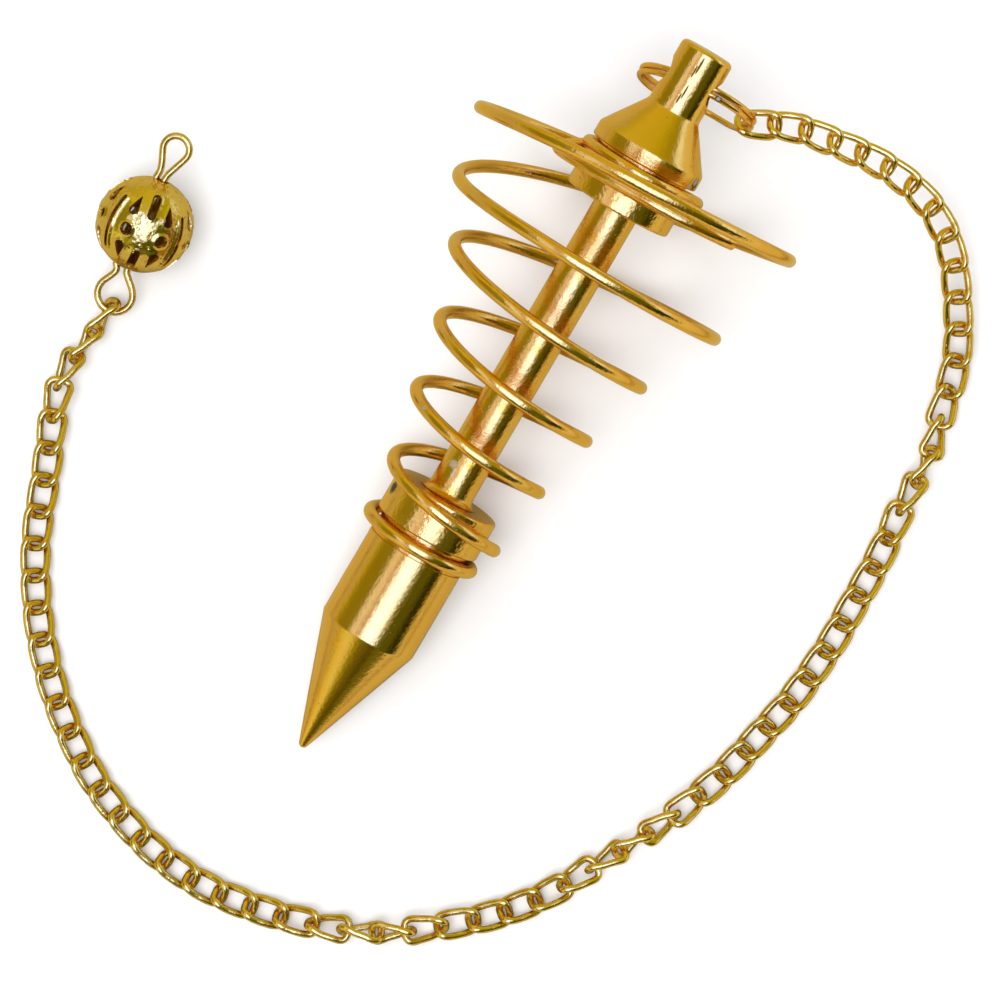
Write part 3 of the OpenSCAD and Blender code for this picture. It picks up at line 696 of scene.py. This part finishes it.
def close_tree(nodes, geometry, material):
    geometry = nodes.get("GeometryNodeRealizeInstances", {"Geometry": geometry})
    geometry = nodes.get("GeometryNodeSetMaterial", {"Geometry": geometry, "Material": material})
    nodes.add("NodeGroupOutput", {"Geometry": geometry})


def build_wire_tree():
    tree, nodes, given = geometry_tree("Bent wire", [
        ("Wire radius", FLOAT, 0.0005), ("Step", FLOAT, 0.0002), ("Sides", "NodeSocketInt", 16),
        ("Unevenness", FLOAT, 0.02), ("Seed", FLOAT, 0.0), ("Material", "NodeSocketMaterial", None)])
    path = nodes.add("GeometryNodeResampleCurve", {"Curve": given["Geometry"], "Length": given["Step"]}, mode="LENGTH")
    spot = nodes.get("GeometryNodeInputPosition")
    waves = nodes.get("ShaderNodeTexNoise", {"Vector": spot, "W": given["Seed"], "Scale": 260.0, "Detail": 1.0},
                      noise_dimensions="4D")
    swell = nodes.times(nodes.less(waves, 0.62), given["Unevenness"], 1.0)
    path = nodes.get("GeometryNodeSetCurveRadius", {"Curve": path.outputs["Curve"], "Radius": swell})
    close_tree(nodes, swept_wire(nodes, path, given["Wire radius"], given["Sides"]), given["Material"])
    return tree


def build_chain_tree():
    tree, nodes, given = geometry_tree("Chain of links", [
        ("Link", "NodeSocketObject", None), ("Wire radius", FLOAT, 0.00025), ("Sides", "NodeSocketInt", 12),
        ("Material", "NodeSocketMaterial", None)])
    outline = nodes.get("GeometryNodeObjectInfo", {"Object": given["Link"]}, out="Geometry")
    link = swept_wire(nodes, outline, given["Wire radius"], given["Sides"])
    turn = nodes.add("GeometryNodeInputNamedAttribute", {"Name": "turn"}, data_type="QUATERNION")
    turn = next(s for s in turn.outputs if s.enabled and s.name == "Attribute")
    points = nodes.add("GeometryNodeInstanceOnPoints", {"Points": given["Geometry"], "Instance": link,
                                                        "Rotation": turn})
    close_tree(nodes, points.outputs["Instances"], given["Material"])
    return tree


def grown(source, tree, values):
    """The mesh that a tree makes of an object, with its inputs given by name."""
    modifier = source.modifiers.new(tree.name, "NODES")
    modifier.node_group = tree
    for item in tree.interface.items_tree:
        if item.item_type == "SOCKET" and item.in_out == "INPUT" and item.name in values:
            modifier[item.identifier] = values[item.name]
    return evaluated_mesh(source)


def curve_object(name, paths, closed=False):
    data = bpy.data.curves.new(name, "CURVE")
    data.dimensions = "3D"
    for path in paths:
        spline = data.splines.new("POLY")
        spline.points.add(len(path) - 1)
        for point, p in zip(spline.points, path):
            point.co = (*(p * MM), 1)
        spline.use_cyclic_u = closed
    return in_scene(name, data)


WIRE_TREE = build_wire_tree()
CHAIN_TREE = build_chain_tree()


def wire_mesh(paths, diameter, step, sides, unevenness, seed, material):
    """Round wire along paths, with a section every step and a slight swell that a seed sets."""
    return grown(curve_object("path", paths), WIRE_TREE, {
        "Wire radius": diameter / 2 * MM, "Step": step * MM, "Sides": sides, "Unevenness": unevenness,
        "Seed": seed, "Material": material})


# ---- finishes

PENDANT = (PENDANT_START, PENDANT_TURN)
BEAD = (BEAD_MIDDLE, BEAD_TURN)

turned_point = gold("Turned point", *PENDANT, polish=0.07, lines=5.0, groove=4.0, wave=(0.5, 14.0), dents=(1.3, 1.0),
                    wear=0.6, edge=True, grain=22.4)
turned_collar = gold("Turned collar", *PENDANT, polish=0.10, lines=4.0, groove=2.0, wave=(0.9, 55.0),
                     dents=(1.6, 9.0), wear=0.9, edge=True, grain=24.0,
                     tarnish_and_reflection=[(on_axis(ROD_Z, 2.6, 0), 1.5), (on_axis(ROD_Z, 3.4, -50), 1.2)],
                     marks=[(on_axis(22.9, 4.6, -62), 0.62, BLACK, 1)])
turned_rod = gold("Turned rod", *PENDANT, polish=0.10, lines=6.0, groove=3.0, wave=(1.3, 18.0), dents=(1.5, 3.0),
                  edge=True, grain=33.6,
                  marks=[(on_axis(27.0, 1.95, -26), 0.38, SCRATCH, 1), (on_axis(26.4, 1.95, -14), 0.1, SCRATCH, 5)],
                  # Orange patches: tarnish at the rod's foot; from 27.6 to 48.8 mm, where the coil crosses the rod,
                  # painted shade and reflection of the coil.
                  tarnish_and_reflection=[(on_axis(ROD_Z, 2.2, 0), 1.3), (on_axis(27.6, 2.0, 20), 0.8),
                           (on_axis(33.0, 1.9, 25), 1.0), (on_axis(38.6, 1.9, 28), 1.0),
                           (on_axis(45.5, 1.9, 30), 1.0), (on_axis(48.8, 1.9, -20), 0.9)])
turned_head = gold("Turned head", *PENDANT, polish=0.08, lines=3.5, groove=3.0, wave=(0.7, 26.0), dents=(1.4, 5.0),
                   wear=0.7, edge=True, grain=20.8,
                   marks=[(on_axis(HEAD_Z + 0.6, 4.77, 74), 0.62, DARK_RIM, 1),
                          (on_axis(HEAD_Z + 0.8, 4.77, 73), 0.34, CHIP, 1),
                          (on_axis(HEAD_Z + 0.3, 4.77, 64), 0.24, CHIP, 1),
                          # Painted reflection: dark lines along the neck that split its highlight, where something
                          # dark is mirrored.
                          (on_axis(NECK_Z + 4.3, NECK_D / 2, 4), 0.11, PAINTED_REFLECTION_LINE, 8),
                          (on_axis(NECK_Z + 3.7, NECK_D / 2, 0), 0.08, PAINTED_REFLECTION_LINE, 8),
                          (on_axis(NECK_Z + 1.9, NECK_D / 2, 4), 0.09, PAINTED_REFLECTION_LINE, 8),
                          (on_axis(NECK_Z + 1.2, NECK_D / 2, 0), 0.09, PAINTED_REFLECTION_LINE, 6)],
                   tarnish_and_reflection=[(on_axis(HEAD_Z + 0.3, 4.7, 20), 0.9), (on_axis(HEAD_Z + 0.3, 4.7, 60), 0.8)])
drawn_wire = gold("Drawn wire", *PENDANT, polish=0.08, wave=(1.4, 18.0), dents=(2.0, 4.0), grain=17.6,
                  streaks=18.0, marks=[((-6.59, -4.69, 36.21), 0.3, CHIP, 1), ((-4.82, -5.0, 30.16), 0.3, CHIP, 1)])
ring_wire = gold("Ring wire", *PENDANT, polish=0.12, wave=(2.5, 8.0), dents=(3.0, 3.0), wear=1.2, streaks=5.0,
                 marks=[((2.67, -0.43, 63.48), 0.32, RING_RIM, 1), ((2.67, -0.43, 63.48), 0.2, CHIP, 1),
                        ((3.3, 8.37, 61.36), 0.26, CHIP, 1), ((4.52, 7.43, 61.7), 0.2, CHIP, 1)])
link_wire = gold("Link wire", *BEAD, polish=0.10, wave=(2.2, 22.0), dents=(3.0, 7.0), tint=YELLOW_GOLD, grain=12.8,
                 streaks=9.0)
bead_sheet = gold("Pressed sheet", *BEAD, polish=0.10, wave=(0.8, 150.0), dents=(1.5, 60.0), wear=0.6,
                  tint=YELLOW_GOLD, inside=BEAD_D / 2 - 2 * SHEET_SINK, grain=22.4)

# ---- turned pieces

SOCKET_END = LOWER_COLLAR_Z - 2 * SEAT_GAP - ROD_END
wall = atan((POINT_D / 2 - TIP_R) / (CONE_H - TIP_R))
tip = [(TIP_R * cos(a), TIP_R + TIP_R * sin(a), 0)
       for a in np.linspace(-pi / 2, -wall, 8)]
tip[0] = (0, 0, 0)
LOWER_SEAT_TOP = POINT_TOP + LOWER_SEAT_H
finished("point", turned_mesh(tip + [
    (POINT_D / 2, CONE_H, 0.1), (POINT_D / 2, POINT_TOP, 0.12), (SEAT_D / 2 - SEAT_GAP, POINT_TOP, 0),
    (SEAT_D / 2 - SEAT_GAP, LOWER_SEAT_TOP, 0.05), (SOCKET_R, LOWER_SEAT_TOP, 0.03),
    (SOCKET_R, SOCKET_END, 0), (0, SOCKET_END, 0)], False), turned_point)

finished("lower_collar", turned_mesh([
    (SOCKET_R, LOWER_COLLAR_Z, 0.03), (LOWER_COLLAR_D / 2, LOWER_COLLAR_Z, 0.2),
    (LOWER_COLLAR_D / 2, ROD_Z, 0.3), (SOCKET_R, ROD_Z, 0.03)], True), turned_collar)

foot = ROD_Z + SEAT_GAP
flare = [(ROD_D / 2 + (ROD_FOOT_D - ROD_D) / 2 * (1 - sin(a)), foot + ROD_FOOT_H * (1 - cos(a)), 0)
         for a in np.linspace(0, pi / 2, 9)]
ROD_BOTTOM, ROD_TOP = LOWER_COLLAR_Z - SEAT_GAP - ROD_END, HEAD_Z + ROD_END
finished("rod", turned_mesh(
    [(0, ROD_BOTTOM, 0), (ROD_D / 2, ROD_BOTTOM, 0.1), (ROD_D / 2, foot, 0)]
    + flare + [(ROD_D / 2, z, 0) for z in np.linspace(foot + ROD_FOOT_H + 0.4, HEAD_Z - 0.3, 24)]
    + [(ROD_D / 2, ROD_TOP, 0.1), (0, ROD_TOP, 0)], False), turned_rod)

UPPER_SEAT_TOP = UPPER_COLLAR_TOP + UPPER_SEAT_H
finished("upper_collar", turned_mesh([
    (SOCKET_R, UPPER_COLLAR_Z, 0.03), (UPPER_COLLAR_D / 2, UPPER_COLLAR_Z, 0.22),
    (UPPER_COLLAR_D / 2, UPPER_COLLAR_TOP, 0.22), (SEAT_D / 2, UPPER_COLLAR_TOP, 0.03),
    (SEAT_D / 2, UPPER_SEAT_TOP, 0.05), (SOCKET_R, UPPER_SEAT_TOP, 0.03)], True), turned_collar)

neck = [(NECK_D / 2 - NECK_ROUND * (1 - cos(a)), TOP_Z - NECK_ROUND * (1 - sin(a)), 0)
        for a in np.linspace(0, pi / 2, 9)]
head_mesh = turned_mesh(
    [(0, ROD_TOP + SEAT_GAP, 0), (SOCKET_R, ROD_TOP + SEAT_GAP, 0), (SOCKET_R, HEAD_Z, 0.03),
     (HEAD_D / 2, HEAD_Z, 0.2), (HEAD_D / 2, HEAD_Z + HEAD_BASE_H, 0.22), (NECK_D / 2, NECK_Z, 0.25)]
    + neck + [(0, TOP_Z, 0)], False)
across = (PENDANT_POSE.to_3x3() @ Vector((1, 0, 0))).normalized()
head_mesh = bored(head_mesh, PENDANT_POSE @ Vector((0, 0, BORE_Z)), across, BORE_D / 2, NECK_D + 2)
finished("head", head_mesh, turned_head)

# ---- wire pieces

coil_paths = [coil_path(COIL_ROWS, 900), coil_path(TAIL_ROWS, 90)]
finished("spiral_coil", wire_mesh(coil_paths, COIL_WIRE_D, 0.28, 20, 0.035, 1.0, drawn_wire), sharp=50)
finished("split_ring", wire_mesh([ring_path(260)], RING_WIRE_D, 0.16, 14, 0.03, 2.0, ring_wire),
         sharp=50)
finished("bead_pin", wire_mesh([pin_path()], PIN_WIRE_D, 0.12, 14, 0.03, 3.0, link_wire), sharp=50)

link_curve = curve_object("link_outline", [link_outline(44)], closed=True)
frames = chain_frames()
stations = plain_mesh("stations", [middle * MM for middle, turn in frames])
stations.attributes.new("turn", "QUATERNION", "POINT").data.foreach_set(
    "value", [v for middle, turn in frames for v in turn.to_quaternion()])
chain_mesh = grown(in_scene("stations", stations), CHAIN_TREE, {
    "Link": link_curve, "Wire radius": LINK_WIRE_R * MM, "Sides": 14, "Material": link_wire})
bpy.data.objects.remove(link_curve)
finished("chain", chain_mesh, sharp=60)

# ---- pierced bead


def hole_table():
    """Centre, east and north of each hole on a ball of radius 1, with its kind."""
    holes = []
    for panel in range(4):
        for kind, side, height in PANEL_HOLES:
            lon = radians(90 * panel + 180 + BEAD_SPIN + side)
            lat = radians(height)
            centre = np.array([cos(lat) * cos(lon), cos(lat) * sin(lon), sin(lat)])
            east = np.array([-sin(lon), cos(lon), 0])
            north = np.cross(centre, east) * (-1 if height < 0 else 1)
            holes.append((kind, centre, east, north))
    return holes


def capsule(x, y, w, l):
    """Distance to a slot with round ends."""
    over = np.maximum(np.abs(y) - (l - w) / 2, 0)
    return np.hypot(x, over) - w / 2


def leaf(x, y):
    """Distance to a leaf with a round end below and a tip above."""
    round_y = (LEAF_W - LEAF_L) / 2
    body = np.hypot(x, y - round_y) - LEAF_W / 2
    reach = LEAF_L / 2 - round_y
    half = asin(LEAF_W / 2 / reach)
    side = np.abs(x) * cos(half) - (LEAF_L / 2 - y) * sin(half)
    blade = np.maximum(side, round_y - y)
    return np.minimum(body, blade)


HOLES = hole_table()
# How far the lip of each kind of hole stands proud, and how wide it is
LIPS = {"slot": (0.05, 0.14), "leaf": (0.04, 0.12), "round": (0.12, 0.13), "seam": (0.22, 0.17)}
FAR = 9.0
# Slow dents of the sheet: how many to a radius, and how deep
DENT_SCALE, DENT_DEPTH = 3.1, 0.035
VISIBLE_WALL = BEAD_WALL * 0.8


def hole_distance(kind, x, y):
    """How far places on the sheet lie from a hole's edge, less than 0 inside it."""
    if kind == "leaf":
        return leaf(x, y)
    w, l = {"slot": (SLOT_W, SLOT_L), "round": (ROUND_HOLE_D, ROUND_HOLE_D), "seam": (SEAM_SLOT_W, SEAM_SLOT_L)}[kind]
    return capsule(x, y, w, l)


def bead_field(p):
    """Distance to the nearest hole's edge, and how far the sheet stands proud there, for directions p."""
    nearest = np.full(len(p), FAR)
    proud = np.zeros(len(p))
    for kind, centre, east, north in HOLES:
        facing = p @ centre > 0.2
        d = hole_distance(kind, p @ east * BEAD_D / 2, p @ north * BEAD_D / 2)
        lip, wide = LIPS[kind]
        d = np.where(facing, d, FAR)
        nearest = np.minimum(nearest, d)
        proud = np.maximum(proud, np.where(facing, lip * np.exp(-np.square(np.maximum(d, 0) / wide)), 0))
    return nearest, proud


def bead_mesh(columns, rows):
    """The pierced sheet, cut along the exact outline of each hole."""
    top = acos(BEAD_HOLE_D / BEAD_D)
    lat = np.linspace(-top, top, rows + 1)
    lon = np.linspace(0, 2 * pi, columns, endpoint=False)
    grid_lat, grid_lon = np.meshgrid(lat, lon, indexing="ij")
    p = np.stack([np.cos(grid_lat) * np.cos(grid_lon), np.cos(grid_lat) * np.sin(grid_lon),
                  np.sin(grid_lat)], -1).reshape(-1, 3)
    d, _ = bead_field(p)
    points = list(p)
    known = {}

    def crossing(a, b):
        key = (min(a, b), max(a, b))
        if key not in known:
            t = min(max(d[a] / (d[a] - d[b]), 0.02), 0.98)
            v = p[a] * (1 - t) + p[b] * t
            known[key] = len(points)
            points.append(v / np.linalg.norm(v))
        return known[key]
    faces = []
    for i in range(rows):
        for j in range(columns):
            n = (j + 1) % columns
            corners = [i * columns + j, i * columns + n, (i + 1) * columns + n, (i + 1) * columns + j]
            out = []
            for a, b in zip(corners, corners[1:] + corners[:1]):
                if d[a] > 0:
                    out.append(a)
                if (d[a] > 0) != (d[b] > 0):
                    out.append(crossing(a, b))
            if len(out) > 2:
                faces.append(out)
    used = sorted({v for face in faces for v in face})
    number = {v: k for k, v in enumerate(used)}
    directions = np.array([points[v] for v in used])
    _, proud = bead_field(directions)
    waves = np.array([noise.noise(Vector(v) * DENT_SCALE) for v in directions]) * DENT_DEPTH
    radius = BEAD_D / 2 - SHEET_SINK + proud + waves * (1 - np.abs(directions[:, 2]) ** 6)
    radius = np.minimum(radius, BEAD_D / 2 + LIP_LIMIT)
    verts = [BEAD_SHELL_POSE @ Vector(v * r) for v, r in zip(directions, radius)]
    verts = [Vector((v.x, v.y, max(v.z, 0))) * MM for v in verts]
    sheet = in_scene("sheet", plain_mesh("sheet", verts, [[number[v] for v in face] for face in faces]))
    wall_modifier = sheet.modifiers.new("wall", "SOLIDIFY")
    wall_modifier.thickness, wall_modifier.offset = VISIBLE_WALL * MM, -1
    return evaluated_mesh(sheet)


finished("end_bead", bead_mesh(232, 124), bead_sheet, sharp=55)

# ---- floor, light

# Directions along the floor: to the right across the pendant, and along it to its head
ACROSS, ALONG = (0.856, -0.517, 0), (0.517, 0.856, 0)
FLOOR_TONE, FLOOR_SIZE = 0.92, 3.0


def make_floor():
    half = FLOOR_SIZE / 2
    mesh = plain_mesh("floor", [(-half, -half, 0), (half, -half, 0), (half, half, 0), (-half, half, 0)],
                      [(0, 1, 2, 3)])
    material = bpy.data.materials.new("Pale floor")
    material.use_nodes = True
    shader = material.node_tree.nodes["Principled BSDF"]
    shader.inputs["Roughness"].default_value = 0.7
    # Painted shade: as mirrored in the metal the floor's colour is dimmer and warmer than it looks to the eye, dimmer
    # on its left than on its right, and dimmest close beside a piece, where painted contact shade stands in for the
    # shadow.
    nodes = Nodes(material.node_tree)
    place = nodes.get("ShaderNodeTexCoord", out="Object")
    right = nodes.vector("DOT_PRODUCT", place, ACROSS, out="Value")
    contact_shade = nodes.get("ShaderNodeAmbientOcclusion", {"Distance": 4 * MM}, samples=2, out="AO")
    mirrored = nodes.times(nodes.span(right, -0.12, 0.12, 0.38, 0.61),
                           nodes.span(contact_shade, 0.25, 0.95, 0.12, 1.0))
    glossy = nodes.get("ShaderNodeLightPath", out="Is Glossy Ray")
    tone = nodes.times(glossy, nodes.less(mirrored, FLOOR_TONE), FLOOR_TONE)
    warm = nodes.times(tone, nodes.times(glossy, -0.42, 1.0))
    nodes.feed(shader.inputs["Base Color"], nodes.joined(X=tone, Y=tone, Z=warm))
    mesh.materials.append(material)
    floor = in_scene("floor", mesh)


# What the metal mirrors overhead, beyond the point and beyond the head: angle across the pendant from
# its left horizon to its right one, and light
OVERHEAD = [
    (-90, (0.66, 0.62, 0.15)), (-81, (0.42, 0.42, 0.048)), (-72, (0.28, 0.29, 0.018)), (-38, (0.28, 0.29, 0.024)),
    (-35.5, (1.1, 1.5, 2.6)), (-33, (0.88, 1.0, 1.8)), (-20, (0.85, 0.95, 1.6)), (-16, (0.45, 0.33, 0.09)),
    (-10, (0.55, 0.45, 0.15)), (-6, (1.6, 2.4, 7.2)), (25, (1.6, 2.4, 7.2)), (31, (0.70, 0.85, 1.2)),
    (37, (0.16, 0.20, 0.048)), (46, (0.09, 0.12, 0.012)), (60, (0.12, 0.15, 0.012)), (72, (0.03, 0.04, 0.006)),
    (85, (0.02, 0.025, 0.006)), (90, (0.40, 0.40, 0.09))]
POINT_SIDE = [
    (-90, (0.70, 0.68, 0.18)), (-73, (0.80, 0.84, 0.282)), (-50, (0.84, 0.94, 0.6)), (-40, (0.80, 0.88, 0.48)),
    (-22, (0.42, 0.44, 0.042)), (5, (0.17, 0.20, 0.018)), (31, (0.15, 0.15, 0.024)), (49, (0.062, 0.06, 0.006)),
    (66, (0.17, 0.21, 0.03)), (84, (0.13, 0.15, 0.036)), (90, (0.55, 0.55, 0.18))]
HEAD_SIDE = [
    (-90, (0.50, 0.50, 0.048)), (-58, (0.64, 0.65, 0.096)), (0, (0.59, 0.61, 0.054)), (18, (0.52, 0.56, 0.024)),
    (37, (0.40, 0.43, 0.018)), (62, (0.34, 0.36, 0.018)), (70, (1.0, 1.3, 2.1)), (80, (1.0, 1.3, 2.1)),
    (90, (0.6, 0.6, 0.18))]
BRIGHTEST, EVEN_LIGHT = 12.0, 0.5
# Soft boxes that light the floor: middle and half size in degrees across and along, soft edge, strength
SOFTBOXES = [((4, -22), (20, 20), 6, 5.0), ((-40, 10), (22, 40), 8, 1.0)]


def make_studio():
    """Soft light overhead from a long bright box beside a weaker one, with dim surroundings at the right."""
    world = bpy.data.worlds.new("studio")
    scene.world = world
    world.use_nodes = True
    nodes = Nodes(world.node_tree)
    back = world.node_tree.nodes["Background"]
    place = nodes.get("ShaderNodeTexCoord", out="Generated")
    up = nodes.get("ShaderNodeSeparateXYZ", {"Vector": place}, out="Z")
    right, ahead = (nodes.vector("DOT_PRODUCT", place, way, out="Value") for way in (ACROSS, ALONG))
    across = nodes.times(nodes.math("ARCTAN2", right, up), 180 / pi)
    along = nodes.times(nodes.math("ARCSINE", ahead), 180 / pi)

    def row(stops):
        ramp = nodes.add("ShaderNodeValToRGB", {"Fac": nodes.span(across, -90, 90)})
        elements = ramp.color_ramp.elements
        elements.remove(elements[1])
        for k, (angle, light) in enumerate(stops):
            stop = elements.new((angle + 90) / 180) if k else elements[0]
            stop.color = (*(v / BRIGHTEST for v in light), 1)
        return ramp.outputs["Color"]
    mirrored = nodes.mix(nodes.span(along, -42, -48), row(OVERHEAD), row(POINT_SIDE))
    mirrored = nodes.mix(nodes.span(along, 12, 22), mirrored, row(HEAD_SIDE))
    mirrored = nodes.scaled(mirrored, BRIGHTEST)

    def softbox(middle, half, soft, light):
        parts = []
        for angle, at, reach in ((across, middle[0], half[0]), (along, middle[1], half[1])):
            off = nodes.math("ABSOLUTE", nodes.less(angle, at))
            parts.append(nodes.get("ShaderNodeMapRange", {
                "Value": off, "From Min": reach + soft, "From Max": reach - soft},
                                   interpolation_type="SMOOTHSTEP"))
        above = nodes.times(nodes.math("GREATER_THAN", up, 0.0), light)
        return nodes.times(nodes.times(*parts), above)
    boxes = nodes.math("ADD", *(softbox(*box) for box in SOFTBOXES))
    even = nodes.math("ADD", boxes, EVEN_LIGHT)
    glossy = nodes.get("ShaderNodeLightPath", out="Is Glossy Ray")
    nodes.feed(back.inputs["Color"], nodes.mix(glossy, nodes.joined(X=even, Y=even, Z=even), mirrored))
    back.inputs["Strength"].default_value = 1.0


make_floor()
make_studio()
scene.view_settings.view_transform = "Standard"
